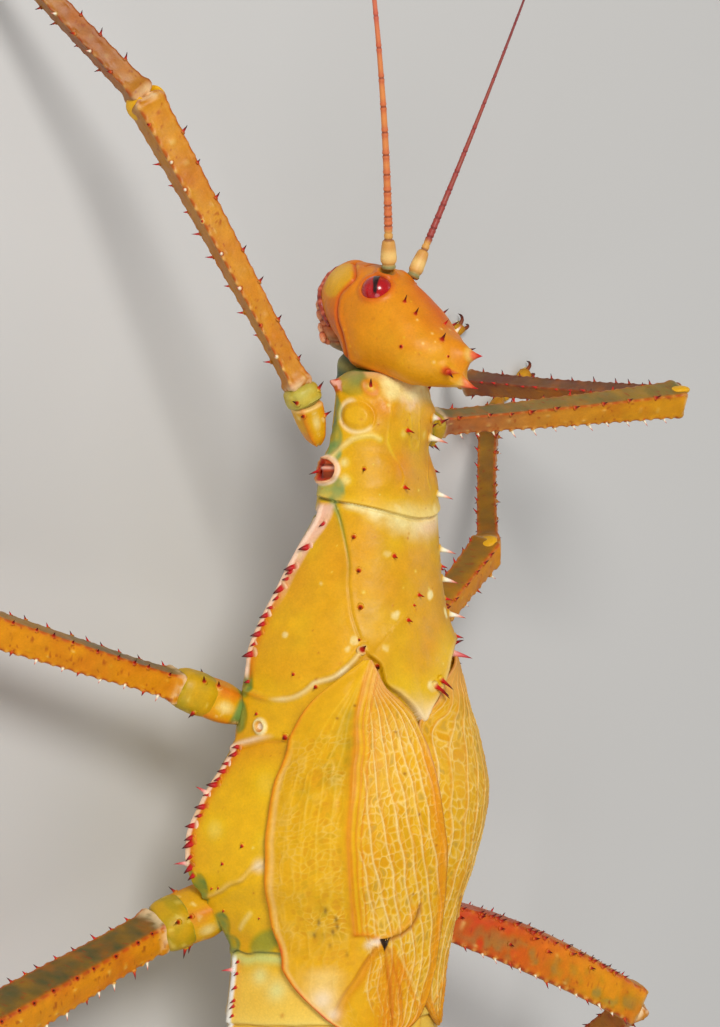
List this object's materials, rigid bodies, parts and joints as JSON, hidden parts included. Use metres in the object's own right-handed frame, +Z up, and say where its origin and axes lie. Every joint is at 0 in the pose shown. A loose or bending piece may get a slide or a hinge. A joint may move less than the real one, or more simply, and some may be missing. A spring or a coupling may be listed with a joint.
{
  "type": "jungle nymph stick insect",
  "caption": "Life-size still model of an adult female jungle nymph stick insect, yellow form, standing on its feet with short folded forewings and thorny legs.",
  "frame": {"origin": "on the floor, under the middle of the box round the whole animal with its legs and feelers", "axes": "+Z up from the floor, -Y along the body towards the head, +X towards the insect's left side"},
  "size_m": [0.191, 0.2268, 0.0531],
  "materials": {
    "body_shell": "satin yellow cuticle with cream margins and red thorns",
    "head_shell": "satin orange-yellow cuticle",
    "limb_shell": "satin orange cuticle, redder along the ridges",
    "forewing": "leathery yellow wing case with cream veins",
    "eye": "glossy crimson",
    "feeler": "matt orange, reddish joints",
    "mouth": "satin pinkish orange"
  },
  "bodies": {
    "root": {"abdomen_front": "body_shell", "abdomen_middle": "body_shell", "abdomen_rear": "body_shell", "antenna_L": "feeler", "antenna_R": "feeler", "coxa_fore_L": "limb_shell", "coxa_fore_R": "limb_shell", "coxa_hind_L": "limb_shell", "coxa_hind_R": "limb_shell", "coxa_mid_L": "limb_shell", "coxa_mid_R": "limb_shell", "eye_L": "eye", "eye_R": "eye", "femur_fore_L": "limb_shell", "femur_fore_R": "limb_shell", "femur_hind_L": "limb_shell", "femur_hind_R": "limb_shell", "femur_mid_L": "limb_shell", "femur_mid_R": "limb_shell", "forewing_L": "forewing", "forewing_R": "forewing", "head": "head_shell", "mesothorax": "body_shell", "metathorax": "body_shell", "mouthparts": "mouth", "ovipositor": "body_shell", "prothorax": "body_shell", "tarsus_fore_L": "limb_shell", "tarsus_fore_R": "limb_shell", "tarsus_hind_L": "limb_shell", "tarsus_hind_R": "limb_shell", "tarsus_mid_L": "limb_shell", "tarsus_mid_R": "limb_shell", "tibia_fore_L": "limb_shell", "tibia_fore_R": "limb_shell", "tibia_hind_L": "limb_shell", "tibia_hind_R": "limb_shell", "tibia_mid_L": "limb_shell", "tibia_mid_R": "limb_shell"}
  },
  "joints": []
}
